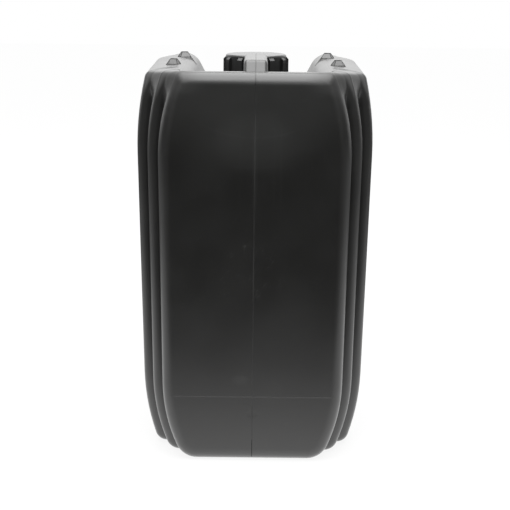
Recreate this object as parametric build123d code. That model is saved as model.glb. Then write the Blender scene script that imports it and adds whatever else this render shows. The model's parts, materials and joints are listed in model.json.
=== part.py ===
"""Blow-moulded 20 litre oil canister with stepped corners, hollow handle and screw cap.

Millimetres. Z is up, the plain back panel faces -Y and the neck stands towards +Y.
The origin is the middle of the base.
"""

import os
from math import cos, radians, sin, tan

from build123d import *

# Canister, with how far its side is drawn in above and below the widest line
CAN_WIDTH = 230.2
CAN_DEPTH = 290.0
TOP_Z = 380.0
WALL = 2.3
BEVEL_SHARE = 0.5
BASE_TUCK = 20.5
LOW_TUCK = 6.0
TOP_TUCK = 9.7
LOW_Z = 75.0
SHOULDER_HEIGHT = 85.0

# Corner steps: each level is narrower than the one outside it and reaches further out
STEP_BASE = 13.5
STEP_LOW = 10.6
STEP_HIGH = 11.5
STEP_TOP = 15.5
WIDE_SETBACK = 52.0
MIDDLE_SETBACK = 27.0
STEP_NOSE_R = 9.0
PANEL_NOSE_R = 13.0
HEEL_RADII = (12.0, 14.0, 22.0)
FOOT_RISE = 0.8
TOP_DROP = 0.3
PANEL_GAP = 1.0

# Domed top: level in the middle, falling away to a round outer edge
DOME_FROM_SIDE = 43.1
DOME_STEP = 5.0
DOME_R = 110.0
DOME_WIDTH = 52.0
SHOULDER_R = 8.0

# Recess under the base, deep enough for the handle of a canister below
PUSH_UP = 10.0
PUSH_UP_MARGIN = 20.0
PUSH_UP_CORNER_R = 24.0
PUSH_UP_TAPER = 30.0

# Trough between the shoulders, from the ridge over the back panel to the open front
FINGER_ROOM = 15.5
TROUGH_DRAFT = 28.0
TROUGH_FLARE_R = 20.0
FLARE_END = 80.0
MOUTH_R = 9.0
RIDGE_DEPTH = 22.0
RIDGE_DROP = 0.9
RIDGE_R = 6.0
TROUGH_BACK_RUN = 35.0
FLOOR_DROP = 48.0
FLOOR_BEND_R = 18.0
FLOOR_CORNER_R = 8.0
DECK_DROP = 30.0
DECK_LENGTH = 109.0
DECK_RAMP_RUN = 26.0
DECK_BEND_R = 14.0

# Stacking pips: bars on the shoulders, placed out from the trough and along the depth
PIP_LENGTH = 11.5
PIP_WIDTH = 9.0
PIP_TOP_LENGTH = 6.0
PIP_TOP_WIDTH = 3.0
PIP_HEIGHT = 4.6
PIP_SUNK = 8.0
PIP_TURN = 20.0
REAR_PIP = (30.9, -52.0)
FRONT_PIP = (24.8, 48.0)

# Handle, placed from the ridge behind it and the deck in front of it
HANDLE_WIDTH = 23.0
HANDLE_THICK = 21.0
HANDLE_BACK_RUN = 16.0
HANDLE_BACK_RISE = 9.0
HANDLE_FRONT_RUN = 16.0
HANDLE_FRONT_RISE = 6.0
HANDLE_POST = 22.0
HANDLE_ROOT = 14.0
HANDLE_BEND_R = 10.0
HANDLE_EDGE_R = 4.0

# Neck
NECK_FROM_FRONT = 60.0
NECK_HEIGHT = 26.6
NECK_R = 28.0
NECK_WALL = 3.2
NECK_LIP = 0.8
NECK_FOOT = 2.4
BEAD_R = 30.1
BEAD_HEIGHT = 2.0
BEAD_RISE = 6.0

# Screw cap, liner and tamper ring
CAP_SKIRT_R = 32.6
CAP_SKIRT_WALL = 2.0
CAP_TOP_WALL = 2.4
CAP_BEAD_GAP = 0.3
CAP_EDGE_R = 2.4
CAP_RIB_R = 35.0
CAP_RIB_WIDTH = 5.4
CAP_RIB_BEVEL = 2.6
CAP_RIB_DROP = 2.6
CAP_RIBS = 12
LINER_THICK = 1.8
LINER_CLEARANCE = 0.4
RING_R = 33.8
RING_GAP = 0.7
RING_CLEARANCE = 0.4
RING_LIP = 2.6
RING_BEAD_GAP = 0.6

# Places that follow from the values above
SPARE = 30.0
HALF_HIGH = CAN_WIDTH / 2
HALF_BASE = HALF_HIGH - BASE_TUCK
HALF_LOW = HALF_HIGH - LOW_TUCK
HALF_TOP = HALF_HIGH - TOP_TUCK
HIGH_Z = TOP_Z - SHOULDER_HEIGHT
END_Y = CAN_DEPTH / 2
RIDGE_Y = RIDGE_DEPTH - END_Y
RIDGE_Z = TOP_Z - RIDGE_DROP
FLOOR_Z = TOP_Z - FLOOR_DROP
DECK_Z = TOP_Z - DECK_DROP
DECK_BACK_Y = END_Y - DECK_LENGTH
NECK_Y = END_Y - NECK_FROM_FRONT
TROUGH_HALF = CAP_RIB_R + FINGER_ROOM
NECK_TOP_Z = DECK_Z + NECK_HEIGHT
BEAD_Z = DECK_Z + BEAD_RISE
BEAD_TOP_Z = BEAD_Z + BEAD_HEIGHT / 2 + BEAD_R - NECK_R
CAP_BOTTOM_Z = BEAD_TOP_Z + CAP_BEAD_GAP
RING_BOTTOM_Z = BEAD_Z - RING_BEAD_GAP - RING_LIP
SETBACKS = (WIDE_SETBACK, MIDDLE_SETBACK, 0.0)
NOSES = (STEP_NOSE_R, STEP_NOSE_R, PANEL_NOSE_R)


def soften(edges, radius, inset):
    """Rounds outer edges; the hollow's own edges get a flat bevel inside that round."""
    if inset:
        return chamfer(edges, BEVEL_SHARE * (radius - inset))
    return fillet(edges, radius)


def dome_roof(level, inset):
    """Region under the domed top, seen from the back."""
    start = HALF_HIGH - DOME_FROM_SIDE - level * DOME_STEP
    top_z = TOP_Z - level * TOP_DROP - inset
    radius = DOME_R - inset
    edge_z = top_z - radius + (radius**2 - DOME_WIDTH**2) ** 0.5
    edge = (start + DOME_WIDTH, edge_z)
    fall = TangentArc((start, top_z), edge, tangent=(1, 0))
    closing = Polyline(edge, (edge[0], -SPARE), (0, -SPARE), (0, top_z), (start, top_z))
    return make_face([fall, closing])


def deck_roof(level, inset):
    """Region under the neck's deck, seen from the back."""
    top_z = DECK_Z - TOP_DROP - inset
    return Pos(HALF_HIGH / 2, top_z / 2) * Rectangle(HALF_HIGH, top_z)


def back_view(level, roof, inset):
    """Face of one level under its roof, seen from the back and drawn on the XZ plane."""
    foot_z = (len(SETBACKS) - 1 - level) * FOOT_RISE + inset
    base = HALF_BASE - level * STEP_BASE - inset
    low = HALF_LOW - level * STEP_LOW - inset
    high = HALF_HIGH - level * STEP_HIGH - inset
    top = HALF_TOP - level * STEP_TOP - inset
    rise = (high - low, HIGH_Z - LOW_Z)
    fall = (low - high, LOW_Z - HIGH_Z)
    heel = TangentArc((low, LOW_Z), (base, foot_z), tangent=fall)
    side = Line((low, LOW_Z), (high, HIGH_Z))
    shoulder = TangentArc((high, HIGH_Z), (top, TOP_Z), tangent=rise)
    closing = Polyline((top, TOP_Z), (0, TOP_Z), (0, foot_z), (base, foot_z))
    half = make_face([heel, side, shoulder, closing]) & roof(level, inset)
    shoulders = [v for v in half.vertices() if v.Y > HIGH_Z + 1]
    half = fillet(max(shoulders, key=lambda v: v.X), SHOULDER_R - inset)
    heels = [v for v in half.vertices() if v.Y < LOW_Z - 1]
    half = fillet(max(heels, key=lambda v: v.X), HEEL_RADII[level] - inset)
    return Plane.XZ * (half + mirror(half, Plane.YZ))


def level_solid(level, roof, inset):
    """One level of the stepped body, with round end edges."""
    reach = END_Y - SETBACKS[level] - inset
    slab = extrude(back_view(level, roof, inset), reach, both=True)
    end_faces = slab.faces().sort_by(Axis.Y)
    end_edges = end_faces[0].edges() + end_faces[-1].edges()
    return soften(end_edges, NOSES[level], inset)


def end_panel(roof, end, inset):
    """Half of the narrowest level, towards one end."""
    keep = Pos(0, end * (END_Y + PANEL_GAP) / 2, TOP_Z / 2) * Box(2 * HALF_HIGH, END_Y, 2 * TOP_Z)
    return level_solid(len(SETBACKS) - 1, roof, inset) & keep


def push_up(inset):
    """Recess under the base that leaves a standing rim."""
    half_x = HALF_BASE - 2 * STEP_BASE - PUSH_UP_MARGIN + inset
    half_y = END_Y - PANEL_NOSE_R - PUSH_UP_MARGIN + inset
    outline = RectangleRounded(2 * half_x, 2 * half_y, PUSH_UP_CORNER_R + inset)
    return extrude(outline, PUSH_UP + inset, taper=PUSH_UP_TAPER)


def trough_floor(inset):
    """Side view of the trough: ridge, back slope, finger floor, ramp and neck deck."""
    floor = FilletPolyline(
        (-END_Y - SPARE, RIDGE_Z),
        (RIDGE_Y, RIDGE_Z),
        (RIDGE_Y + TROUGH_BACK_RUN, FLOOR_Z),
        (DECK_BACK_Y - DECK_RAMP_RUN, FLOOR_Z),
        (DECK_BACK_Y, DECK_Z),
        (END_Y + SPARE, DECK_Z),
        radius=[RIDGE_R, FLOOR_BEND_R, FLOOR_BEND_R, DECK_BEND_R],
    )
    lid = Polyline(
        (END_Y + SPARE, DECK_Z),
        (END_Y + SPARE, TOP_Z + SPARE),
        (-END_Y - SPARE, TOP_Z + SPARE),
        (-END_Y - SPARE, RIDGE_Z),
    )
    face = make_face([floor, lid])
    return offset(face, inset, kind=Kind.INTERSECTION) if inset else face


def trough_edge(inset):
    """Centre of the round edge over a trough wall, and the point where the two meet."""
    lean = radians(TROUGH_DRAFT)
    radius = TROUGH_FLARE_R - inset
    centre_z = TOP_Z - TROUGH_FLARE_R
    wall_rise = centre_z + TROUGH_FLARE_R * sin(lean) - DECK_Z
    centre_x = TROUGH_HALF + wall_rise * tan(lean) + TROUGH_FLARE_R * cos(lean)
    meeting = (centre_x - radius * cos(lean), centre_z + radius * sin(lean))
    return (centre_x, centre_z), meeting


def trough_walls(inset):
    """Back view of the trough between its drafted walls."""
    meeting = trough_edge(inset)[1]
    slope = tan(radians(TROUGH_DRAFT))
    up = TOP_Z + SPARE - meeting[1]
    down = meeting[1] - FLOOR_Z + SPARE
    top = (meeting[0] + up * slope, meeting[1] + up)
    foot = (meeting[0] - down * slope, meeting[1] - down)
    corners = (foot, top, (-top[0], top[1]), (-foot[0], foot[1]))
    return make_face(Polyline(*corners, close=True))


def trough_flare(inset):
    """Back view of the round edges over the trough's walls."""
    lean = radians(TROUGH_DRAFT)
    end = radians(FLARE_END)
    radius = TROUGH_FLARE_R - inset
    centre, meeting = trough_edge(inset)
    tip = (centre[0] - radius * cos(end), centre[1] + radius * sin(end))
    out = (tip[0] + SPARE * sin(end), tip[1] + SPARE * cos(end))
    edge = TangentArc(meeting, tip, tangent=(sin(lean), cos(lean)))
    rest = Polyline(tip, out, (0, out[1]), (0, meeting[1]), meeting)
    right = make_face([edge, rest])
    return right + mirror(right, Plane.YZ)


def is_foot(edge):
    """True for the edges along the trough's own floor, not those that close its side view."""
    middle = edge.center()
    across = edge.bounding_box().size.X > TROUGH_HALF
    return not across and middle.Z < RIDGE_Z and abs(middle.Y) < END_Y


def trough(inset):
    """Tool that cuts the trough and rounds its upper edges."""
    side_view = Plane.YZ * trough_floor(inset)
    limit = extrude(side_view, 2 * END_Y, both=True)
    channel = limit & extrude(Plane.XZ * trough_walls(inset), END_Y + SPARE / 2, both=True)
    channel = fillet(channel.edges().filter_by(is_foot), FLOOR_CORNER_R + inset)
    return channel + (limit & extrude(Plane.XZ * trough_flare(inset), END_Y + SPARE / 2, both=True))


def mouth(inset):
    """Tool that rounds the ends of the trough's walls where the shoulders stop."""
    end_y = END_Y - MIDDLE_SETBACK - inset
    height = DECK_DROP + 2 * SPARE + inset
    plate = Pos(0, end_y - SPARE / 2, DECK_Z - inset + height / 2) * Box(2 * CAN_WIDTH, SPARE, height)
    opening = trough_walls(inset) + trough_flare(inset)
    plate -= extrude(Plane.XZ * opening, END_Y + SPARE, both=True)
    rims = [e for e in plate.edges() if e.center().Y > end_y - 1 and abs(e.center().X) < HALF_HIGH]
    rims = [e for e in rims if e.bounding_box().size.Z > 1 and e.center().Z < TOP_Z + SPARE / 2]
    return plate - soften(rims, MOUTH_R, inset)


def body_form(inset):
    """The levels as one form, with the trough and the recess taken out."""
    form = level_solid(0, dome_roof, inset) + level_solid(1, dome_roof, inset)
    form += end_panel(dome_roof, -1, inset)
    form += end_panel(deck_roof, 1, inset)
    return form - trough(inset) - mouth(inset) - push_up(inset)


def handle(inset):
    """Grip over the trough, from the back ridge to the neck deck."""
    back_y = RIDGE_Y + HANDLE_BACK_RUN
    back_z = TOP_Z + HANDLE_BACK_RISE
    front_y = DECK_BACK_Y - HANDLE_FRONT_RUN
    front_z = TOP_Z + HANDLE_FRONT_RISE
    grip_z = front_z - HANDLE_THICK
    outline = Polyline(
        (back_y - HANDLE_POST, back_z - HANDLE_POST),
        (back_y, back_z),
        (front_y, front_z),
        (front_y + HANDLE_POST, DECK_Z - HANDLE_ROOT),
        (front_y - HANDLE_POST / 2, FLOOR_Z - HANDLE_ROOT),
        (front_y - HANDLE_POST, grip_z),
        (back_y + HANDLE_POST, back_z - HANDLE_THICK),
        (back_y, FLOOR_Z),
        close=True,
    )
    face = make_face(outline)
    bends = [v for v in face.vertices() if v.Y > grip_z - 1 and v.X > back_y - 1]
    face = fillet(bends, HANDLE_BEND_R)
    if inset:
        face = offset(face, -inset, kind=Kind.INTERSECTION)
    bar = extrude(Plane.YZ * face, HANDLE_WIDTH / 2 - inset, both=True)
    long_edges = [e for e in bar.edges() if e.bounding_box().size.X < 0.01]
    return soften(long_edges, HANDLE_EDGE_R, inset)


def neck():
    """Neck with its tamper bead, drawn from its axis outwards, thread left off."""
    outline = Polyline(
        (NECK_R + NECK_FOOT, DECK_Z),
        (NECK_R, DECK_Z + NECK_FOOT),
        (NECK_R, BEAD_Z),
        (BEAD_R, BEAD_Z),
        (BEAD_R, BEAD_Z + BEAD_HEIGHT / 2),
        (NECK_R, BEAD_TOP_Z),
        (NECK_R, NECK_TOP_Z),
        (0, NECK_TOP_Z),
        (0, DECK_Z - WALL),
        (NECK_R + NECK_FOOT, DECK_Z - WALL),
        close=True,
    )
    stub = revolve(Plane.XZ * make_face(outline), Axis.Z)
    rim = stub.faces().sort_by(Axis.Z)[-1]
    return Pos(0, NECK_Y, 0) * chamfer(rim.edges(), NECK_LIP)


def neck_bore():
    """Way through the neck into the canister."""
    depth = NECK_HEIGHT + SPARE / 2
    return Pos(0, NECK_Y, NECK_TOP_Z - depth / 2) * Cylinder(NECK_R - NECK_WALL, depth)


def pip_bar():
    """Bar with sloping sides that meets level ground at zero and runs on below it."""
    grow = 1 + PIP_SUNK / PIP_HEIGHT
    foot_length = PIP_TOP_LENGTH + grow * (PIP_LENGTH - PIP_TOP_LENGTH)
    foot_width = PIP_TOP_WIDTH + grow * (PIP_WIDTH - PIP_TOP_WIDTH)
    foot = Pos(0, 0, -PIP_SUNK) * Rectangle(foot_length, foot_width)
    top = Pos(0, 0, PIP_HEIGHT) * Rectangle(PIP_TOP_LENGTH, PIP_TOP_WIDTH)
    return loft([foot, top])


def pips():
    """Bars that stop a canister stacked on top from sliding, two on each shoulder."""
    bar = pip_bar()
    bars = []
    for side in (-1, 1):
        for from_trough, y in (REAR_PIP, FRONT_PIP):
            turn = side * PIP_TURN if y < 0 else -side * PIP_TURN
            bars.append(Pos(side * (TROUGH_HALF + from_trough), y, TOP_Z) * Rot(0, 0, turn) * bar)
    return bars


def canister():
    """The whole blow-moulded piece: outer form less the same form drawn in by the wall."""
    outer = body_form(0.0) + handle(0.0) + neck()
    for bar in pips():
        outer += bar
    hollow = body_form(WALL) + handle(WALL) + neck_bore()
    return outer - hollow


def screw_cap():
    """Cap with a round top edge and upright grip ribs."""
    seat_z = NECK_TOP_Z + LINER_THICK
    height = seat_z + CAP_TOP_WALL - CAP_BOTTOM_Z
    cap = Pos(0, 0, CAP_BOTTOM_Z + height / 2) * Cylinder(CAP_SKIRT_R, height)
    cap = fillet(cap.edges().sort_by(Axis.Z)[-1], CAP_EDGE_R)
    rib_top = CAP_BOTTOM_Z + height - CAP_RIB_DROP
    rib_root = CAP_SKIRT_R - CAP_SKIRT_WALL / 2
    rib_side = Polyline(
        (rib_root, CAP_BOTTOM_Z),
        (CAP_RIB_R, CAP_BOTTOM_Z),
        (CAP_RIB_R, rib_top - CAP_RIB_BEVEL),
        (CAP_RIB_R - CAP_RIB_BEVEL, rib_top),
        (rib_root, rib_top),
        close=True,
    )
    rib = extrude(Plane.XZ * make_face(rib_side), CAP_RIB_WIDTH / 2, both=True)
    for turn in range(CAP_RIBS):
        cap += Rot(0, 0, 90 + turn * 360 / CAP_RIBS) * rib
    depth = seat_z - CAP_BOTTOM_Z
    cap -= Pos(0, 0, CAP_BOTTOM_Z + depth / 2) * Cylinder(CAP_SKIRT_R - CAP_SKIRT_WALL, depth)
    return Pos(0, NECK_Y, 0) * cap


def cap_liner():
    """Sealing disc between the cap and the neck's rim."""
    radius = CAP_SKIRT_R - CAP_SKIRT_WALL - LINER_CLEARANCE
    return Pos(0, NECK_Y, NECK_TOP_Z + LINER_THICK / 2) * Cylinder(radius, LINER_THICK)


def tamper_ring():
    """Ring under the cap, kept on the neck by a lip below the bead."""
    inner = BEAD_R + RING_CLEARANCE
    lip = NECK_R + RING_CLEARANCE
    top_z = CAP_BOTTOM_Z - RING_GAP
    outline = Polyline(
        (lip, RING_BOTTOM_Z),
        (RING_R, RING_BOTTOM_Z),
        (RING_R, top_z),
        (inner, top_z),
        (inner, RING_BOTTOM_Z + RING_LIP),
        (lip, RING_BOTTOM_Z + RING_LIP),
        close=True,
    )
    return Pos(0, NECK_Y, 0) * revolve(Plane.XZ * make_face(outline), Axis.Z)


if __name__ == "__main__":
    os.makedirs("parts", exist_ok=True)
    export_step(canister(), "parts/canister.step")
    export_step(screw_cap(), "parts/screw_cap.step")
    export_step(cap_liner(), "parts/cap_liner.step")
    export_step(tamper_ring(), "parts/tamper_ring.step")
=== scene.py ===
"""Looks for the black oil canister: moulded skin, parting lines, threads and studio."""

import json
from math import atan2, cos, pi, radians, sin

import bmesh
import bpy
from mathutils import Matrix, Vector
from mathutils.bvhtree import BVHTree

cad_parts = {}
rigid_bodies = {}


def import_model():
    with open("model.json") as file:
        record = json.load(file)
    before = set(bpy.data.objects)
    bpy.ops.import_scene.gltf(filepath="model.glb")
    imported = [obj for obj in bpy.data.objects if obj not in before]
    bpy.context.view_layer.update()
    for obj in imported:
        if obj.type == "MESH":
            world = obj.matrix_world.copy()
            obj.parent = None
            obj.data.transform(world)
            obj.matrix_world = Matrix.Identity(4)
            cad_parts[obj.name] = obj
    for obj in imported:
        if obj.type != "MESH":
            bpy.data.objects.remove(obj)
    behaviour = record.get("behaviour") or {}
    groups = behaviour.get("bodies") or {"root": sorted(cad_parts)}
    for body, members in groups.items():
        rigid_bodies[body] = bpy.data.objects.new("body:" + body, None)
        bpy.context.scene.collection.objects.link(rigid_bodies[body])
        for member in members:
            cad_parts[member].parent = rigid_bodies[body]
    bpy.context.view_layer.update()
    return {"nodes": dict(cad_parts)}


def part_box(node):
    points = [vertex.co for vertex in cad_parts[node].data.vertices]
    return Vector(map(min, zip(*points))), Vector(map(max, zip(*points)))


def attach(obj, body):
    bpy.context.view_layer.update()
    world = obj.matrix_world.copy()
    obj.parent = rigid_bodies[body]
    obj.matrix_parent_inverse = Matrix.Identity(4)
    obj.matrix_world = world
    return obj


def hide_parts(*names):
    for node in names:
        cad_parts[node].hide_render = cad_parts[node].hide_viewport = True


for leftover in list(bpy.data.objects):
    bpy.data.objects.remove(leftover)
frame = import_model()

# Camera, from the photograph's perspective: place, degrees down and of roll, lens in mm
CAMERA_PLACE = (0.0012, -1.595, 0.500)
CAMERA_DOWN = 11.452
CAMERA_ROLL = 0.62
LENS = 109.46
SENSOR_WIDTH = 36.0

# Canister skin: merging, shading, radius of its edges, and how far inside the box (as a share
# of that radius) an edge is at half its bend
MERGE_DISTANCE = 2e-6
SMOOTH_ANGLE = 32.0
NORMAL_WEIGHT = 100
CORNER_R = 0.013
BEND_SHARE = 0.293
BACK_SKIN_DEPTH = 0.001

# Rays that find the skin start this far back from their places, outside the canister
RAY_START = 0.5
UP = (0, 0, 1)
DOWN = (0, 0, -1)
SQUARE = ((-1, -1), (1, -1), (1, 1), (-1, 1))

# Run-out of the corner steps into the top edge. The patch spans a chord on plan, and its rows
# climb the wall and then fan out over the edge.
RUNOUT_FROM = (0.076, 0.145)
RUNOUT_TO = (0.108, 0.105)
RUNOUT_MARGIN = 0.30  # share of the chord added at each end
RUNOUT_PIVOT = (0.030, 0.352)  # distance inside the chord and height
RUNOUT_LOW_Z = 0.340
RUNOUT_FULL_LIFT = 50.0  # degrees of the fan where the fill is complete
RUNOUT_END_LIFTS = (70.0, 88.0)  # degrees where the patch ends, at its inner and outer columns
RUNOUT_END_SPAN = (0.28, 0.60)  # shares of the chord between which the end moves
RUNOUT_FADE = 10.0  # degrees before its end over which the fill fades out
RUNOUT_FILL = 0.96  # share of a groove's depth that is filled
RUNOUT_COLUMNS = 140
RUNOUT_WALL_ROWS = 12
RUNOUT_ROLL_ROWS = 40
RUNOUT_SINK = 0.00015
RUNOUT_END_SINK = 0.0012

# Stacking pips of the right shoulder (x, y and turn in degrees), and half the size of a foot
PIPS = ((0.0814, -0.052, 20.0), (0.0753, 0.048, -20.0))
PIP_FOOT = (0.00575, 0.0045)
PIP_FOOT_Z = 0.3795
PIP_TOP_Z = 0.3846
PIP_TOP_SLACK = 0.0001
PIP_REACH = 0.0085
PIP_LEAN = 0.0028
# Size of the dark bead round the pips, which is painted shade at their edges
PIP_SHADE_LINE = 0.0003

# Parting line of the mould halves, pinched weld below it, and level line of the base insert
SEAM_WIDTH = 0.0012
SEAM_HEIGHT = 0.00012
SEAM_STEP = 0.0008
SEAM_JOIN = 0.0004
SEAM_UNEVEN = 0.3
SEAM_PALE = (0.318, 0.030, 0.24)  # middle and half length of a paler stretch, and its share
NECK_CLEARANCE = 0.004
PINCH_TOP_Z = 0.022
PINCH_LOW_Z = 0.003
PINCH_WIDTH = 0.0011
PINCH_HEIGHT = 0.0003
PINCH_UNEVEN = 0.9
INSERT_Z = 0.0649
INSERT_HALF = 0.080
INSERT_HEIGHT = 0.00009
BEAD_SIDES = 10
RIPPLE_SCALE = 260.0

# Thread of neck and cap, and the tear bridges of the ring, hidden while the cap is on
NECK_R = 0.028
CAP_INSIDE_R = 0.0306
THREAD_PITCH = 0.006
NECK_TURNS = 2.2
CAP_TURNS = 1.5
THREAD_WIDTH = 0.0034
THREAD_HEIGHT = 0.0017
THREAD_BELOW_LIP = 0.0025
TOOTH_SIDES = 8
BRIDGES = 16
BRIDGE_R = 0.0319
BRIDGE_SIZE = (0.0008, 0.0014, 0.0008)
BRIDGE_SINK = 0.0002

# Finish of all plastics: span of the cloud noise used, and its effect on roughness
CLOUD_SPAN = (0.35, 0.75)
ROUGH_SPAN = (0.3, 0.7)
ROUGH_SPREAD = 0.012

# Short scratches: width, depth, softness of their ends, and how a second noise breaks them up
RUB_WIDTH = 0.0012
RUB_DEPTH = 0.02
RUB_SOFT = 0.08
RUB_BREAK_SCALE = 95.0
RUB_BREAK = (0.50, 0.62)
RUB_SHARE = 0.06

# Marks, painted highlight arcs and painted sheen on the back panel; the last number of each is its
# share of the pale colour
ARC_HALF = 0.0013
ARC_CLEAR = 0.3
# Pale arcs painted where the panel's shallow dish turns: painted highlight lines
PAINTED_HIGHLIGHT_ARCS = (  # lowest z, radius and sideways reach
    ((0.3184, 0.1088, 0.066), 0.07),
    ((0.2900, 0.1600, 0.045), 0.03),
)
STREAK_Z = (0.235, 0.335)
STREAK_FADES = (0.03, 0.01)
STREAKS = (  # x and half width
    (-0.0140, 0.0012, 0.03),
    (0.0003, 0.0030, 0.07),
    (0.0185, 0.0010, 0.04),
    (0.0250, 0.0016, 0.05),
)
# Pale ovals painted on the panel: painted sheen where reflected light lies
PAINTED_SHEENS = (  # middle (x, z) and radii of ovals
    ((0.0, 0.3700), (0.130, 0.095), 0.15),
    ((0.0, 0.3150), (0.045, 0.035), 0.07),
    ((-0.0120, 0.0824), (0.010, 0.006), 0.08),
)
RUBBED_PATCH = ((-0.008, 0.190), (0.044, 0.034))
PATCH_FULL = 0.4
PATCH_SHARE = 0.22
WELD_DENT = ((0.0, 0.0480), (0.007, 0.004))
WELD_DENT_DEPTH = 0.00008

# Duller top edge towards the back corners: spans of x, y and z, and roughness added
DULL_X = (0.040, 0.085)
DULL_Y = (-0.128, -0.118)
DULL_Z = (0.355, 0.368)
DULL_SHARE = 0.30

# Studio: name, place, point aimed at, size and radiance of each soft light
LAMPS = (
    ("overhead", (0.0, -0.2, 1.62), (0.0, -0.2, 0.0), (1.3, 2.4), 4.2),
    ("back", (0.0, 1.45, 0.95), (0.0, 0.0, 0.35), (1.6, 0.9), 1.0),
    ("light_table", (0.0, 0.0, 0.001), (0.0, 0.0, 1.0), (1.9, 0.84), 0.6),
)

# World: light of the dim room, of the haze and sky above it, and behind the canister
ROOM_LIGHT = 0.04
HAZE_LIGHT = 0.8
HAZE_SPAN = (0.02, 0.35)
SKY_LIGHT = 1.3
SKY_SPAN = (0.35, 1.0)
BACK_LIGHT = 1.0
BACK_SPAN = (0.0, 0.5)

# Floor: half its size, its paper, and its glow in reflections near the canister and far aside
FLOOR_HALF = 6.0
FLOOR_PAPER = (0.85, 0.85, 0.85, 1)
FLOOR_SHOWN = 0.88
FLOOR_GLOW = 1.0
FLOOR_INSET = 0.02
FLOOR_FRONT_REACH = 0.28
FLOOR_SIDE_REACH = 1.2
FLOOR_SIDES = (0.25, 0.90)
FLOOR_SIDE_GLOW = 0.22


def link(tree, source, target):
    """Joins two sockets of a node tree."""
    tree.links.new(source, target)


def node(tree, kind, **settings):
    """New node with its properties and unlinked inputs set."""
    made = tree.nodes.new(kind)
    for key, value in settings.items():
        if key in made.inputs:
            made.inputs[key].default_value = value
        else:
            setattr(made, key, value)
    return made


def math_node(tree, operation, first, second=None):
    """Math node; each operand is a socket or a number."""
    made = tree.nodes.new("ShaderNodeMath")
    made.operation = operation
    for slot, operand in enumerate((first, second)):
        if operand is None:
            continue
        if isinstance(operand, (int, float)):
            made.inputs[slot].default_value = operand
        else:
            link(tree, operand, made.inputs[slot])
    return made.outputs[0]


def ranged(tree, value, low, high, to_low=0.0, to_high=1.0, smooth=False):
    """Map Range node on one value, clamped."""
    made = tree.nodes.new("ShaderNodeMapRange")
    made.interpolation_type = "SMOOTHSTEP" if smooth else "LINEAR"
    link(tree, value, made.inputs["Value"])
    made.inputs["From Min"].default_value = low
    made.inputs["From Max"].default_value = high
    made.inputs["To Min"].default_value = to_low
    made.inputs["To Max"].default_value = to_high
    return made.outputs["Result"]


def vector_math(tree, operation, first, second=(0, 0, 0)):
    """Vector Math node on a socket and a fixed vector."""
    made = node(tree, "ShaderNodeVectorMath", operation=operation)
    link(tree, first, made.inputs[0])
    made.inputs[1].default_value = second
    return made.outputs["Value" if operation == "LENGTH" else "Vector"]


def xyz(tree, vector):
    """The three numbers of a vector socket."""
    split = tree.nodes.new("ShaderNodeSeparateXYZ")
    link(tree, vector, split.inputs[0])
    return split.outputs


def new_object(name, mesh):
    """Object in the scene for a mesh."""
    made = bpy.data.objects.new(name, mesh)
    bpy.context.scene.collection.objects.link(made)
    return made


def blank_material(name):
    """Material with an empty tree, its tree and its output node."""
    material = bpy.data.materials.new(name)
    material.use_nodes = True
    material.node_tree.nodes.clear()
    return material, material.node_tree, material.node_tree.nodes.new("ShaderNodeOutputMaterial")


FLOAT = "NodeSocketFloat"
VECTOR = "NodeSocketVector"


def node_group(name, kind, inputs, outputs):
    """Empty node group with its sockets, and its input and output nodes."""
    group = bpy.data.node_groups.new(name, kind)
    for way, sockets in (("INPUT", inputs), ("OUTPUT", outputs)):
        for label, socket in sockets:
            group.interface.new_socket(label, in_out=way, socket_type=socket)
    return group, group.nodes.new("NodeGroupInput"), group.nodes.new("NodeGroupOutput")


def moulded_grain_group():
    """Fine mould grain and slow waviness as a height, and cloudy tone as a value."""
    group, given, out = node_group(
        "moulded_grain", "ShaderNodeTree",
        [("Place", VECTOR), ("Grain Size", FLOAT), ("Grain Height", FLOAT),
         ("Wave Size", FLOAT), ("Wave Height", FLOAT)],
        [("Height", FLOAT), ("Cloud", FLOAT)],
    )
    fine = node(group, "ShaderNodeTexNoise", Detail=2.0, Roughness=0.6)
    link(group, given.outputs["Place"], fine.inputs["Vector"])
    link(group, math_node(group, "DIVIDE", 1.0, given.outputs["Grain Size"]), fine.inputs["Scale"])
    slow = node(group, "ShaderNodeTexNoise", Detail=1.5, Roughness=0.4)
    link(group, given.outputs["Place"], slow.inputs["Vector"])
    link(group, math_node(group, "DIVIDE", 1.0, given.outputs["Wave Size"]), slow.inputs["Scale"])
    fine_height = math_node(group, "MULTIPLY", fine.outputs["Fac"], given.outputs["Grain Height"])
    slow_height = math_node(group, "MULTIPLY", slow.outputs["Fac"], given.outputs["Wave Height"])
    link(group, math_node(group, "ADD", fine_height, slow_height), out.inputs["Height"])
    link(group, slow.outputs["Fac"], out.inputs["Cloud"])
    return group


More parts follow.
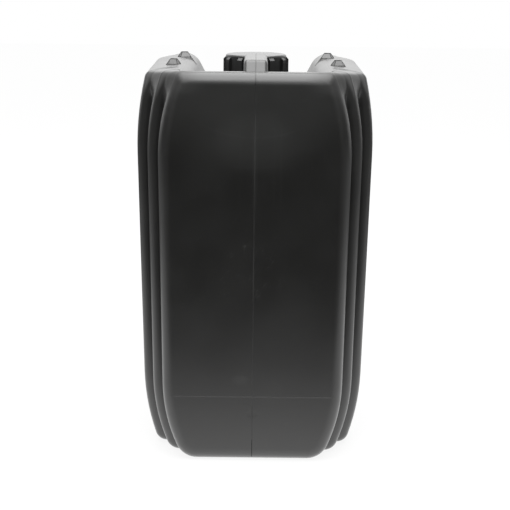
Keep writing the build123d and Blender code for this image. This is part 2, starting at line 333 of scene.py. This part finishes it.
def rub_marks_group():
    """Short pale scratches in one direction, as a mask."""
    group, given, out = node_group(
        "rub_marks", "ShaderNodeTree",
        [("Place", VECTOR), ("Turn", FLOAT), ("Length", FLOAT), ("Sparse", FLOAT)],
        [("Mask", FLOAT)],
    )
    turn = node(group, "ShaderNodeVectorRotate", rotation_type="Y_AXIS")
    link(group, given.outputs["Place"], turn.inputs["Vector"])
    link(group, given.outputs["Turn"], turn.inputs["Angle"])
    x, y, z = xyz(group, turn.outputs[0])
    along = math_node(group, "DIVIDE", x, given.outputs["Length"])
    across = math_node(group, "DIVIDE", z, RUB_WIDTH)
    depth = math_node(group, "DIVIDE", y, RUB_DEPTH)
    stretched = node(group, "ShaderNodeCombineXYZ")
    for slot, value in enumerate((along, across, depth)):
        link(group, value, stretched.inputs[slot])
    lines = node(group, "ShaderNodeTexNoise", Scale=1.0, Detail=3.0, Roughness=0.6, Distortion=0.6)
    link(group, stretched.outputs[0], lines.inputs["Vector"])
    mask = node(group, "ShaderNodeMapRange", interpolation_type="SMOOTHSTEP")
    link(group, lines.outputs["Fac"], mask.inputs["Value"])
    link(group, given.outputs["Sparse"], mask.inputs["From Min"])
    solid = math_node(group, "ADD", given.outputs["Sparse"], RUB_SOFT)
    link(group, solid, mask.inputs["From Max"])
    here = node(group, "ShaderNodeTexNoise", Scale=RUB_BREAK_SCALE, Detail=2.0, Roughness=0.7)
    link(group, given.outputs["Place"], here.inputs["Vector"])
    kept = ranged(group, here.outputs["Fac"], *RUB_BREAK)
    link(group, math_node(group, "MULTIPLY", mask.outputs["Result"], kept), out.inputs["Mask"])
    return group


def placed_group(tree, group, coordinates, **values):
    """Group node in a material, read at Object coordinates."""
    made = tree.nodes.new("ShaderNodeGroup")
    made.node_tree = group
    link(tree, coordinates, made.inputs["Place"])
    for key, value in values.items():
        made.inputs[key.replace("_", " ")].default_value = value
    return made


def plastic(name, colour, pale, roughness, gloss, cloudy, grain, rub, marks=None):
    """Moulded plastic: cloudy base colour, fine grain, sparse rub marks and marks of its own,
    which on the back panel include painted sheen and painted highlight arcs.
    """
    material, tree, output = blank_material(name)
    place = tree.nodes.new("ShaderNodeTexCoord").outputs["Object"]
    skin = placed_group(tree, GRAIN, place, **grain)
    rubs = placed_group(tree, RUBS, place, **rub)
    shader = node(tree, "ShaderNodeBsdfPrincipled", IOR=1.5)
    shader.inputs["Specular IOR Level"].default_value = gloss
    tint = node(tree, "ShaderNodeMix", data_type="RGBA")
    tint.inputs["A"].default_value = (*colour, 1)
    tint.inputs["B"].default_value = (*pale, 1)
    cloud = ranged(tree, skin.outputs["Cloud"], *CLOUD_SPAN, 0.0, cloudy)
    rough = ranged(tree, skin.outputs["Cloud"], *ROUGH_SPAN,
                   roughness - ROUGH_SPREAD, roughness + ROUGH_SPREAD)
    rubbed = math_node(tree, "MULTIPLY", rubs.outputs["Mask"], RUB_SHARE)
    height = skin.outputs["Height"]
    if marks:
        own, rubbed, dent, dull = marks(tree, place, rubs)
        # Own tone of the marks; on the back panel it holds painted sheen and painted highlight
        # arcs
        cloud = math_node(tree, "ADD", cloud, own)
        rough = math_node(tree, "ADD", rough, dull)
        height = math_node(tree, "SUBTRACT", height, dent)
    link(tree, math_node(tree, "ADD", cloud, rubbed), tint.inputs["Factor"])
    link(tree, tint.outputs["Result"], shader.inputs["Base Color"])
    link(tree, rough, shader.inputs["Roughness"])
    bump = node(tree, "ShaderNodeBump", Strength=1.0, Distance=1.0)
    link(tree, height, bump.inputs["Height"])
    link(tree, bump.outputs["Normal"], shader.inputs["Normal"])
    link(tree, shader.outputs[0], output.inputs["Surface"])
    return material


def peak(tree, value, centre, half):
    """1 at a centre value, falling evenly to 0 at half a width from it."""
    off = math_node(tree, "ABSOLUTE", math_node(tree, "SUBTRACT", value, centre))
    return ranged(tree, off, 0.0, half, 1.0, 0.0)


def oval(tree, x, z, middle, radii):
    """1 in the middle of an upright oval, falling to 0 at its edge."""
    across = math_node(tree, "DIVIDE", math_node(tree, "SUBTRACT", x, middle[0]), radii[0])
    up = math_node(tree, "DIVIDE", math_node(tree, "SUBTRACT", z, middle[1]), radii[1])
    across_square, up_square = (math_node(tree, "MULTIPLY", part, part) for part in (across, up))
    far = math_node(tree, "ADD", across_square, up_square)
    return ranged(tree, far, 0.0, 1.0, 1.0, 0.0, smooth=True)


def hanging_arc(tree, x, z, lowest, radius, reach):
    """Thin line along the lower part of a circle, fading out sideways."""
    up = math_node(tree, "SUBTRACT", z, lowest + radius)
    x_square, up_square = (math_node(tree, "MULTIPLY", side, side) for side in (x, up))
    away = math_node(tree, "SQRT", math_node(tree, "ADD", x_square, up_square))
    line = peak(tree, away, radius, ARC_HALF)
    aside = math_node(tree, "ABSOLUTE", x)
    fade = ranged(tree, aside, ARC_CLEAR * reach, reach, 1.0, 0.0, smooth=True)
    return math_node(tree, "MULTIPLY", line, fade)


def total(tree, shares):
    """Sum of values, each times its share."""
    made = 0.0
    for value, share in shares:
        made = math_node(tree, "ADD", math_node(tree, "MULTIPLY", value, share), made)
    return made


def back_panel_marks(tree, place, rubs):
    """Marks of the back panel and its top edge, as tone, rubs, depth and roughness; the tone holds
    painted highlight arcs and painted sheen besides streaks.
    """
    x, y, z = xyz(tree, place)
    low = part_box("canister")[0]
    on_back = ranged(tree, y, low.y + BACK_SKIN_DEPTH, low.y + 2 * BACK_SKIN_DEPTH, 1.0, 0.0)
    starting = ranged(tree, z, STREAK_Z[0], STREAK_Z[0] + STREAK_FADES[0], 0.0, 1.0, smooth=True)
    ending = ranged(tree, z, STREAK_Z[1] - STREAK_FADES[1], STREAK_Z[1], 1.0, 0.0, smooth=True)
    drawn = math_node(tree, "MULTIPLY", starting, ending)
    # The arcs are painted highlight lines and the ovals painted sheen; the streaks are tone of the
    # plastic
    lines = [(hanging_arc(tree, x, z, *arc), share) for arc, share in PAINTED_HIGHLIGHT_ARCS]
    lines += [(math_node(tree, "MULTIPLY", peak(tree, x, at, half), drawn), share)
              for at, half, share in STREAKS]
    lines += [(oval(tree, x, z, middle, radii), share) for middle, radii, share in PAINTED_SHEENS]
    own = math_node(tree, "MULTIPLY", total(tree, lines), on_back)
    patch = math_node(tree, "MULTIPLY", oval(tree, x, z, *RUBBED_PATCH), on_back)
    strength = ranged(tree, patch, 0.0, PATCH_FULL, RUB_SHARE, PATCH_SHARE)
    pressed = math_node(tree, "MULTIPLY", oval(tree, x, z, *WELD_DENT), on_back)
    dent = math_node(tree, "MULTIPLY", pressed, WELD_DENT_DEPTH)
    outer = ranged(tree, math_node(tree, "ABSOLUTE", x), *DULL_X, 0.0, DULL_SHARE, smooth=True)
    upper = ranged(tree, z, *DULL_Z, smooth=True)
    edge = math_node(tree, "MULTIPLY", upper, ranged(tree, y, *DULL_Y, 1.0, 0.0))
    dull = math_node(tree, "MULTIPLY", outer, edge)
    return own, math_node(tree, "MULTIPLY", rubs.outputs["Mask"], strength), dent, dull


def seam_marks(tree, place, rubs):
    """Paler stretch of the parting line on the upper back panel."""
    middle, half, share = SEAM_PALE
    own = math_node(tree, "MULTIPLY", peak(tree, xyz(tree, place)["Z"], middle, half), share)
    return own, math_node(tree, "MULTIPLY", rubs.outputs["Mask"], RUB_SHARE), 0.0, 0.0


def moulded_copy(source, name, bead_room):
    """Copy of a CAD node with doubles merged, smooth faces and room for beads within its box."""
    mesh = frame["nodes"][source].data.copy()
    mesh.name = name
    shell = bmesh.new()
    shell.from_mesh(mesh)
    bmesh.ops.remove_doubles(shell, verts=shell.verts, dist=MERGE_DISTANCE)
    low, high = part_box(source)
    for point in shell.verts:
        point.co.y = min(max(point.co.y, low.y + bead_room), high.y - bead_room)
        point.co.z = min(point.co.z, high.z - bead_room)
    shell.to_mesh(mesh)
    shell.free()
    mesh.materials.clear()
    if "custom_normal" in mesh.attributes:
        mesh.attributes.remove(mesh.attributes["custom_normal"])
    piece = new_object(name, mesh)
    mesh.shade_smooth()
    mesh.set_sharp_from_angle(angle=radians(SMOOTH_ANGLE))
    even = piece.modifiers.new("even_normals", "WEIGHTED_NORMAL")
    even.keep_sharp = True
    even.weight = NORMAL_WEIGHT
    return piece


def lean_pips(mesh):
    """Leans the upper part of each pip forward, so that its rear face lies flatter."""
    for point in mesh.vertices:
        for x, y, _ in PIPS:
            near = Vector((abs(point.co.x) - x, point.co.y - y)).length < PIP_REACH
            rise = (point.co.z - PIP_FOOT_Z) / (PIP_TOP_Z - PIP_FOOT_Z)
            if near and rise > 0:
                point.co.y += PIP_LEAN * rise


def skin_points(skin, places, direction):
    """Points where rays through places first meet the skin from outside."""
    way = Vector(direction)
    hits = (skin.ray_cast(Vector(place) - way * RAY_START, way)[0] for place in places)
    return [hit for hit in hits if hit]


def steps(first, last, step):
    """Even values from first to last."""
    count = max(2, round(abs(last - first) / step))
    return [first + (last - first) * i / count for i in range(count + 1)]


def seam_route(skin):
    """Parting line from the neck over the handle and down the back to the weld."""
    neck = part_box("tamper_ring")[0].y - NECK_CLEARANCE
    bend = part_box("canister")[0].y + CORNER_R * BEND_SHARE
    route = skin_points(skin, [(0, y, 0) for y in steps(neck, bend, SEAM_STEP)], DOWN)
    heights = steps(route[-1].z - SEAM_JOIN, PINCH_TOP_Z, SEAM_STEP)
    return route + skin_points(skin, [(0, 0, z) for z in heights], (0, 1, 0))


def front_seam_route(skin):
    """Parting line from the weld up the front and over the shelf to the neck."""
    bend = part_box("canister")[1].y - CORNER_R * BEND_SHARE
    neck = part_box("tamper_ring")[1].y + NECK_CLEARANCE
    shelf = skin_points(skin, [(0, y, 0) for y in steps(bend, neck, SEAM_STEP)], DOWN)
    heights = steps(PINCH_TOP_Z, shelf[0].z - SEAM_JOIN, SEAM_STEP)
    return skin_points(skin, [(0, 0, z) for z in heights], (0, -1, 0)) + shelf


def heel_route(skin, side):
    """Line of the pinched weld down the heel of one end."""
    heights = steps(PINCH_TOP_Z, PINCH_LOW_Z, SEAM_STEP)
    return skin_points(skin, [(0, 0, z) for z in heights], (0, -side, 0))


def base_route(skin):
    """Line of the pinched weld across the raised middle of the base."""
    low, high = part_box("canister")
    along = steps(low.y + CORNER_R, high.y - CORNER_R, SEAM_STEP)
    points = skin_points(skin, [(0, y, 0) for y in along], UP)
    return [point for point in points if point.z > low.z + PINCH_LOW_Z]


def insert_route(skin, side):
    """Level line of the mould's base insert across one end panel."""
    across = steps(-INSERT_HALF, INSERT_HALF, SEAM_STEP)
    return skin_points(skin, [(x, 0, INSERT_Z) for x in across], (0, -side, 0))


def upper_hull(values):
    """Evenly spaced values raised to the smallest rounded-outward line over them."""
    kept = []
    for point in enumerate(values):
        while len(kept) > 1 and ((kept[-1][0] - kept[-2][0]) * (point[1] - kept[-2][1])
                                 >= (kept[-1][1] - kept[-2][1]) * (point[0] - kept[-2][0])):
            kept.pop()
        kept.append(point)
    raised = []
    for (first, low), (last, high) in zip(kept, kept[1:]):
        raised += [low + (high - low) * i / (last - first) for i in range(last - first)]
    return raised + [kept[-1][1]]


def eased(value):
    """Smooth step from 0 to 1."""
    value = min(max(value, 0.0), 1.0)
    return value * value * (3 - 2 * value)


def step_runout(skin, side):
    """Patch that fills the grooves of one back corner more and more towards the rounded top."""
    start = Vector((side * RUNOUT_FROM[0], -RUNOUT_FROM[1], 0))
    chord = Vector((side * RUNOUT_TO[0], -RUNOUT_TO[1], 0)) - start
    aim = Vector((side * abs(chord.y), -abs(chord.x), 0)).normalized()
    depth, pivot_z = RUNOUT_PIVOT
    near_end, far_end = RUNOUT_END_LIFTS
    near, far = RUNOUT_END_SPAN
    wall_step = (pivot_z - RUNOUT_LOW_Z) / RUNOUT_WALL_ROWS
    rows = [(z, 0.0) for z in steps(RUNOUT_LOW_Z, pivot_z, wall_step)]
    rows += [(pivot_z, far_end * i / RUNOUT_ROLL_ROWS) for i in range(1, RUNOUT_ROLL_ROWS + 1)]
    full_row = RUNOUT_WALL_ROWS + RUNOUT_ROLL_ROWS * RUNOUT_FULL_LIFT / far_end
    wide = RUNOUT_COLUMNS + 1
    places = [(1 + 2 * RUNOUT_MARGIN) * i / RUNOUT_COLUMNS - RUNOUT_MARGIN for i in range(wide)]
    points, used = [], []
    for number, (z, lift) in enumerate(rows):
        ray = aim * cos(radians(lift)) + Vector((0, 0, sin(radians(lift))))
        pivots = [start + chord * along - aim * depth + Vector((0, 0, z)) for along in places]
        hits = [skin.ray_cast(pivot + ray * RAY_START, -ray)[0] or pivot for pivot in pivots]
        reaches = [(hit - pivot).dot(ray) for hit, pivot in zip(hits, pivots)]
        fill = RUNOUT_FILL * eased(number / full_row)
        for along, pivot, reach, hull in zip(places, pivots, reaches, upper_hull(reaches)):
            end = near_end + (far_end - near_end) * eased((along - near) / (far - near))
            kept = eased((end - lift) / RUNOUT_FADE)
            sink = RUNOUT_SINK + RUNOUT_END_SINK * (1 - kept)
            points.append(pivot + ray * (reach + fill * kept * (hull - reach) - sink))
            used.append(kept > 0)
    faces = []
    for row in range(len(rows) - 1):
        for column in range(RUNOUT_COLUMNS):
            corner = row * wide + column
            face = (corner, corner + 1, corner + wide + 1, corner + wide)
            if any(used[point] for point in face):
                faces.append(face if side < 0 else face[::-1])
    mesh = bpy.data.meshes.new("step_runout")
    mesh.from_pydata(points, [], faces)
    patch = bmesh.new()
    patch.from_mesh(mesh)
    loose = [point for point in patch.verts if not point.link_faces]
    bmesh.ops.delete(patch, geom=loose, context="VERTS")
    patch.to_mesh(mesh)
    patch.free()
    mesh.shade_smooth()
    return mesh


def pip_edges(mesh, skin):
    """Edges round the foot, slopes and top of every pip, as one mesh of lines, along which a dark
    bead paints the shade at the pips' edges.
    """
    points, edges = [], []
    tops = [point.co for point in mesh.vertices if point.co.z > PIP_TOP_Z - PIP_TOP_SLACK]
    count = len(SQUARE)
    for x, y, turn in PIPS:
        for side in (-1, 1):
            place = Vector((side * x, y))
            corners = [corner for corner in tops if (corner.xy - place).length < PIP_REACH]
            middle = sum(corners, Vector()) / len(corners)
            corners.sort(key=lambda corner: atan2(corner.y - middle.y, corner.x - middle.x))
            turned = Matrix.Rotation(radians(side * turn), 2)
            feet = []
            for across, along in SQUARE:
                foot = place + turned @ Vector((across * PIP_FOOT[0], along * PIP_FOOT[1]))
                feet += skin_points(skin, [(foot.x, foot.y, 0)], DOWN)
            upper = len(points)
            lower = upper + count
            points += corners + feet
            for i in range(count):
                following = (i + 1) % count
                edges += [(upper + i, upper + following), (lower + i, lower + following),
                          (upper + i, lower + i)]
    shade_lines = bpy.data.meshes.new("pip_shade_lines")
    shade_lines.from_pydata(points, edges, [])
    return shade_lines


def geometry_tree(name, inputs):
    """Empty geometry node tree with its own inputs, a geometry in and out, and a material."""
    geometry = ("Geometry", "NodeSocketGeometry")
    material = ("Material", "NodeSocketMaterial")
    return node_group(name, "GeometryNodeTree", [geometry, *inputs, material], [geometry])


def swept(tree, path, sides, half_sizes):
    """Capped solid along a curve, with an upright oval of two half sizes as profile."""
    circle = node(tree, "GeometryNodeCurvePrimitiveCircle", Resolution=sides, Radius=1.0)
    size = node(tree, "ShaderNodeCombineXYZ", Z=1.0)
    for slot, half in enumerate(half_sizes):
        link(tree, half, size.inputs[slot])
    profile = node(tree, "GeometryNodeTransform")
    link(tree, circle.outputs[0], profile.inputs["Geometry"])
    link(tree, size.outputs[0], profile.inputs["Scale"])
    sweep = node(tree, "GeometryNodeCurveToMesh")
    sweep.inputs["Fill Caps"].default_value = True
    link(tree, path, sweep.inputs["Curve"])
    link(tree, profile.outputs[0], sweep.inputs["Profile Curve"])
    return sweep


def finish_tree(tree, given, out, made):
    """Move to the place given, if any, realize, shade smooth and give the material."""
    if "Place" in given.outputs:
        move = node(tree, "GeometryNodeTransform")
        link(tree, made, move.inputs["Geometry"])
        link(tree, given.outputs["Place"], move.inputs["Translation"])
        made = move.outputs[0]
    solid = node(tree, "GeometryNodeRealizeInstances")
    smooth = node(tree, "GeometryNodeSetShadeSmooth")
    paint = node(tree, "GeometryNodeSetMaterial")
    link(tree, made, solid.inputs[0])
    link(tree, solid.outputs[0], smooth.inputs["Geometry"])
    link(tree, smooth.outputs[0], paint.inputs["Geometry"])
    link(tree, given.outputs["Material"], paint.inputs["Material"])
    link(tree, paint.outputs[0], out.inputs[0])


def bead_tree():
    """Low round bead along a line of edges."""
    inputs = [("Level Half", FLOAT), ("Other Half", FLOAT), ("Uneven", FLOAT)]
    tree, given, out = geometry_tree("skin_bead", inputs)
    path = node(tree, "GeometryNodeMeshToCurve")
    link(tree, given.outputs["Geometry"], path.inputs["Mesh"])
    upright = node(tree, "GeometryNodeSetCurveNormal", mode="Z_UP")
    link(tree, path.outputs[0], upright.inputs["Curve"])
    ripple = node(tree, "ShaderNodeTexNoise", Scale=RIPPLE_SCALE, Detail=2.0)
    thinned = math_node(tree, "MULTIPLY", ripple.outputs["Fac"], given.outputs["Uneven"])
    share = math_node(tree, "SUBTRACT", 1.0, thinned)
    swell = node(tree, "GeometryNodeSetCurveRadius")
    link(tree, upright.outputs[0], swell.inputs["Curve"])
    link(tree, share, swell.inputs["Radius"])
    half_sizes = (given.outputs["Level Half"], given.outputs["Other Half"])
    sweep = swept(tree, swell.outputs[0], BEAD_SIDES, half_sizes)
    link(tree, share, sweep.inputs["Scale"])
    finish_tree(tree, given, out, sweep.outputs[0])
    return tree


def thread_tree():
    """Screw thread round an upright axis."""
    inputs = [("Place", VECTOR), ("Radius", FLOAT), ("Pitch", FLOAT), ("Turns", FLOAT),
              ("Width", FLOAT), ("Height", FLOAT)]
    tree, given, out = geometry_tree("screw_thread", inputs)
    helix = node(tree, "GeometryNodeCurveSpiral", Resolution=64)
    rise = math_node(tree, "MULTIPLY", given.outputs["Pitch"], given.outputs["Turns"])
    link(tree, given.outputs["Turns"], helix.inputs["Rotations"])
    link(tree, given.outputs["Radius"], helix.inputs["Start Radius"])
    link(tree, given.outputs["Radius"], helix.inputs["End Radius"])
    link(tree, rise, helix.inputs["Height"])
    upright = node(tree, "GeometryNodeSetCurveNormal", mode="Z_UP")
    link(tree, helix.outputs[0], upright.inputs["Curve"])
    half_width = math_node(tree, "MULTIPLY", given.outputs["Width"], 0.5)
    sweep = swept(tree, upright.outputs[0], TOOTH_SIDES, (given.outputs["Height"], half_width))
    finish_tree(tree, given, out, sweep.outputs[0])
    return tree


def bridge_tree():
    """Ring of small upright tabs."""
    inputs = [("Place", VECTOR), ("Radius", FLOAT), ("Count", "NodeSocketInt"), ("Size", VECTOR)]
    tree, given, out = geometry_tree("tear_bridges", inputs)
    ring = node(tree, "GeometryNodeMeshCircle")
    link(tree, given.outputs["Count"], ring.inputs["Vertices"])
    link(tree, given.outputs["Radius"], ring.inputs["Radius"])
    tab = node(tree, "GeometryNodeMeshCube")
    link(tree, given.outputs["Size"], tab.inputs["Size"])
    turn = math_node(tree, "DIVIDE", 2 * pi, given.outputs["Count"])
    index = node(tree, "GeometryNodeInputIndex")
    spin = node(tree, "ShaderNodeCombineXYZ")
    link(tree, math_node(tree, "MULTIPLY", index.outputs[0], turn), spin.inputs["Z"])
    spread = node(tree, "GeometryNodeInstanceOnPoints")
    link(tree, ring.outputs[0], spread.inputs["Points"])
    link(tree, tab.outputs[0], spread.inputs["Instance"])
    link(tree, spin.outputs[0], spread.inputs["Rotation"])
    finish_tree(tree, given, out, spread.outputs[0])
    return tree


def grown(name, mesh, tree, **values):
    """Plain mesh object that a geometry tree makes from a mesh and its input values."""
    start = new_object(name + "_start", mesh)
    maker = start.modifiers.new("maker", "NODES")
    maker.node_group = tree
    for item in tree.interface.items_tree:
        if item.in_out == "INPUT" and item.name in values:
            maker[item.identifier] = values[item.name]
    graph = bpy.context.evaluated_depsgraph_get()
    made = bpy.data.meshes.new_from_object(start.evaluated_get(graph))
    made.name = name
    bpy.data.objects.remove(start)
    return new_object(name, made)


def line_mesh(name, points):
    """Mesh of one open line of edges."""
    mesh = bpy.data.meshes.new(name)
    mesh.from_pydata(points, [(i, i + 1) for i in range(len(points) - 1)], [])
    return mesh


def fitted(piece, body):
    """Hands a finished piece to its body."""
    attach(piece, body)


def camera():
    """Camera at the photograph's angle."""
    data = bpy.data.cameras.new("photo_camera")
    data.lens = LENS
    data.sensor_width = SENSOR_WIDTH
    view = bpy.data.objects.new("photo_camera", data)
    tilt = Matrix.Rotation(radians(90 - CAMERA_DOWN), 4, "X")
    roll = Matrix.Rotation(radians(CAMERA_ROLL), 4, "Z")
    view.matrix_world = Matrix.Translation(CAMERA_PLACE) @ tilt @ roll
    bpy.context.scene.collection.objects.link(view)
    bpy.context.scene.camera = view


def studio():
    """White backdrop behind the canister, a dim room before it, and soft lights."""
    scene = bpy.context.scene
    scene.view_settings.view_transform = "Standard"
    world = bpy.data.worlds.new("studio")
    scene.world = world
    world.use_nodes = True
    tree = world.node_tree
    tree.nodes.clear()
    output = tree.nodes.new("ShaderNodeOutputWorld")
    path = tree.nodes.new("ShaderNodeLightPath")
    _, y, z = xyz(tree, tree.nodes.new("ShaderNodeTexCoord").outputs["Generated"])
    back = ranged(tree, y, *BACK_SPAN, ROOM_LIGHT, BACK_LIGHT, smooth=True)
    haze = ranged(tree, z, *HAZE_SPAN, ROOM_LIGHT, HAZE_LIGHT, smooth=True)
    sky = ranged(tree, z, *SKY_SPAN, 0.0, SKY_LIGHT - HAZE_LIGHT)
    room = math_node(tree, "MAXIMUM", back, math_node(tree, "ADD", haze, sky))
    seen = math_node(tree, "MAXIMUM", room, path.outputs["Is Camera Ray"])
    light = node(tree, "ShaderNodeBackground", Color=(1, 1, 1, 1))
    link(tree, seen, light.inputs["Strength"])
    link(tree, light.outputs[0], output.inputs["Surface"])
    for name, place, aim, size, radiance in LAMPS:
        soft = bpy.data.lights.new(name, "AREA")
        soft.shape = "RECTANGLE"
        soft.size, soft.size_y = size
        soft.energy = radiance * pi * size[0] * size[1]
        lamp = bpy.data.objects.new(name, soft)
        lamp.visible_camera = False
        facing = (Vector(aim) - Vector(place)).to_track_quat("-Z", "Y")
        lamp.matrix_world = Matrix.Translation(place) @ facing.to_matrix().to_4x4()
        scene.collection.objects.link(lamp)


def floor():
    """Pale floor, nearly white to the camera; in reflections it glows most near the canister."""
    mesh = bpy.data.meshes.new("floor")
    corners = [(x * FLOOR_HALF, y * FLOOR_HALF, 0) for x, y in SQUARE]
    mesh.from_pydata(corners, [], [(0, 1, 2, 3)])
    ground = new_object("floor", mesh)
    material, tree, output = blank_material("floor_paper")
    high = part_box("canister")[1]
    aside = vector_math(tree, "ABSOLUTE", tree.nodes.new("ShaderNodeTexCoord").outputs["Object"])
    past = vector_math(tree, "SUBTRACT", aside, (high.x - FLOOR_INSET, high.y, 0))
    outside = vector_math(tree, "MAXIMUM", past)
    reaches = vector_math(tree, "DIVIDE", outside, (FLOOR_SIDE_REACH, FLOOR_FRONT_REACH, 1))
    away = vector_math(tree, "LENGTH", reaches)
    fade = math_node(tree, "EXPONENT", math_node(tree, "MULTIPLY", away, -1.0))
    sides = ranged(tree, xyz(tree, aside)["X"], *FLOOR_SIDES, 0.0, FLOOR_SIDE_GLOW, smooth=True)
    mirrored = math_node(tree, "MAXIMUM", math_node(tree, "MULTIPLY", fade, FLOOR_GLOW), sides)
    path = tree.nodes.new("ShaderNodeLightPath")
    strength = node(tree, "ShaderNodeMix", data_type="FLOAT")
    link(tree, path.outputs["Is Glossy Ray"], strength.inputs["Factor"])
    strength.inputs["A"].default_value = 1.0
    link(tree, mirrored, strength.inputs["B"])
    glow = node(tree, "ShaderNodeEmission")
    link(tree, strength.outputs["Result"], glow.inputs["Strength"])
    paper = node(tree, "ShaderNodeBsdfDiffuse", Color=FLOOR_PAPER)
    shown = math_node(tree, "MULTIPLY", path.outputs["Is Camera Ray"], FLOOR_SHOWN)
    choice = math_node(tree, "MAXIMUM", shown, path.outputs["Is Glossy Ray"])
    blend = tree.nodes.new("ShaderNodeMixShader")
    link(tree, choice, blend.inputs[0])
    link(tree, paper.outputs[0], blend.inputs[1])
    link(tree, glow.outputs[0], blend.inputs[2])
    link(tree, blend.outputs[0], output.inputs["Surface"])
    mesh.materials.append(material)


camera()
studio()
floor()

GRAIN = moulded_grain_group()
RUBS = rub_marks_group()
FINE_SKIN = {"Grain_Size": 0.0009, "Grain_Height": 0.000012,
             "Wave_Size": 0.045, "Wave_Height": 0.000015}
CAP_SKIN = {"Grain_Size": 0.0005, "Grain_Height": 0.000006,
            "Wave_Size": 0.03, "Wave_Height": 0.00004}
FOAM_SKIN = {"Grain_Size": 0.0008, "Grain_Height": 0.00004,
             "Wave_Size": 0.02, "Wave_Height": 0.0001}
SEAM_SKIN = {"Grain_Size": 0.0006, "Grain_Height": 0.00003,
             "Wave_Size": 0.02, "Wave_Height": 0.0001}
# Pale colour of scuffs, and on the back panel also of painted sheen and painted highlight arcs
SCUFF_AND_SHEEN_BLACK = (0.060, 0.062, 0.060)
black_hdpe = plastic("black_hdpe_skin", (0.0037, 0.0036, 0.0031), SCUFF_AND_SHEEN_BLACK,
                     roughness=0.33, gloss=0.8, cloudy=0.04, grain=FINE_SKIN,
                     rub={"Turn": 0.9, "Length": 0.005, "Sparse": 0.57}, marks=back_panel_marks)
rubbed_seam = plastic("rubbed_seam_skin", (0.0050, 0.0050, 0.0046), SCUFF_AND_SHEEN_BLACK,
                      roughness=0.42, gloss=0.7, cloudy=0.15, grain=SEAM_SKIN,
                      rub={"Turn": 1.2, "Length": 0.01, "Sparse": 0.6}, marks=seam_marks)
# Dark skin of the pinched weld; on the beads round the pips the same skin is painted shade
weld_and_shade_black = plastic("weld_and_shade_line_skin", (0.0025, 0.0026, 0.0025), (0.012, 0.012, 0.012),
                    roughness=0.7, gloss=0.2, cloudy=0.2, grain=SEAM_SKIN,
                    rub={"Turn": 1.2, "Length": 0.01, "Sparse": 0.7})
black_cap = plastic("black_cap_skin", (0.0080, 0.0082, 0.0080), (0.050, 0.050, 0.050),
                    roughness=0.32, gloss=0.8, cloudy=0.06, grain=CAP_SKIN,
                    rub={"Turn": 0.2, "Length": 0.012, "Sparse": 0.70})
pale_liner = plastic("liner_foam", (0.75, 0.74, 0.70), (0.62, 0.61, 0.57),
                     roughness=0.6, gloss=0.5, cloudy=0.5, grain=FOAM_SKIN,
                     rub={"Turn": 0.0, "Length": 0.01, "Sparse": 0.8})

canister = moulded_copy("canister", "canister_body", PINCH_HEIGHT)
canister.data.materials.append(black_hdpe)
lean_pips(canister.data)
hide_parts("canister")
fitted(canister, "can")

skin = BVHTree.FromObject(canister, bpy.context.evaluated_depsgraph_get())
for name, side in (("left_step_runout", -1), ("right_step_runout", 1)):
    runout = new_object(name, step_runout(skin, side))
    runout.data.materials.append(black_hdpe)
    fitted(runout, "can")

BEAD = bead_tree()
seam = {"Level Half": SEAM_WIDTH / 2, "Other Half": SEAM_HEIGHT,
        "Uneven": SEAM_UNEVEN, "Material": rubbed_seam}
weld = {"Level Half": PINCH_WIDTH / 2, "Other Half": PINCH_HEIGHT,
        "Uneven": PINCH_UNEVEN, "Material": weld_and_shade_black}
insert = {"Level Half": INSERT_HEIGHT, "Other Half": SEAM_WIDTH / 2,
          "Uneven": SEAM_UNEVEN, "Material": black_hdpe}
# Dark beads round the pips: painted shade at their edges
pip_shade_bead = {"Level Half": PIP_SHADE_LINE, "Other Half": PIP_SHADE_LINE,
           "Uneven": SEAM_UNEVEN, "Material": weld_and_shade_black}
routes = (
    ("back_seam", seam_route(skin), seam),
    ("front_seam", front_seam_route(skin), seam),
    ("back_weld", heel_route(skin, -1), weld),
    ("front_weld", heel_route(skin, 1), weld),
    ("base_weld", base_route(skin), weld),
    ("back_insert_line", insert_route(skin, -1), insert),
    ("front_insert_line", insert_route(skin, 1), insert),
)
for name, route, bead in routes:
    fitted(grown(name, line_mesh(name, route), BEAD, **bead), "can")
# Dark lines along the pips' edges, painted shade
pips = grown("pip_shade_lines", pip_edges(canister.data, skin), BEAD, **pip_shade_bead)
fitted(pips, "can")

THREAD = thread_tree()
liner_low, liner_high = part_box("cap_liner")
ring_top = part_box("tamper_ring")[1].z
axis = (liner_low + liner_high) / 2
neck_start = Vector((axis.x, axis.y, liner_low.z - THREAD_BELOW_LIP - THREAD_PITCH * NECK_TURNS))
cap_start = neck_start + Vector((0, 0, THREAD_PITCH / 2))
threads = (
    ("neck_thread", neck_start, NECK_R, NECK_TURNS, black_hdpe, "can", "black_hdpe"),
    ("cap_thread", cap_start, CAP_INSIDE_R, CAP_TURNS, black_cap, "cap", "black_cap"),
)
for name, place, radius, turns, material, body, slot in threads:
    thread = grown(name, bpy.data.meshes.new(name), THREAD, Place=place, Radius=radius,
                   Pitch=THREAD_PITCH, Turns=turns, Width=THREAD_WIDTH, Height=THREAD_HEIGHT,
                   Material=material)
    fitted(thread, body)

bridge_place = Vector((axis.x, axis.y, ring_top + BRIDGE_SIZE[2] / 2 - BRIDGE_SINK))
bridges = grown("tear_bridges", bpy.data.meshes.new("tear_bridges"), bridge_tree(),
                Place=bridge_place, Radius=BRIDGE_R, Count=BRIDGES, Size=BRIDGE_SIZE,
                Material=black_cap)
fitted(bridges, "can")

finishes = {"screw_cap": black_cap, "tamper_ring": black_cap, "cap_liner": pale_liner}
for name, material in finishes.items():
    frame["nodes"][name].material_slots[0].material = material
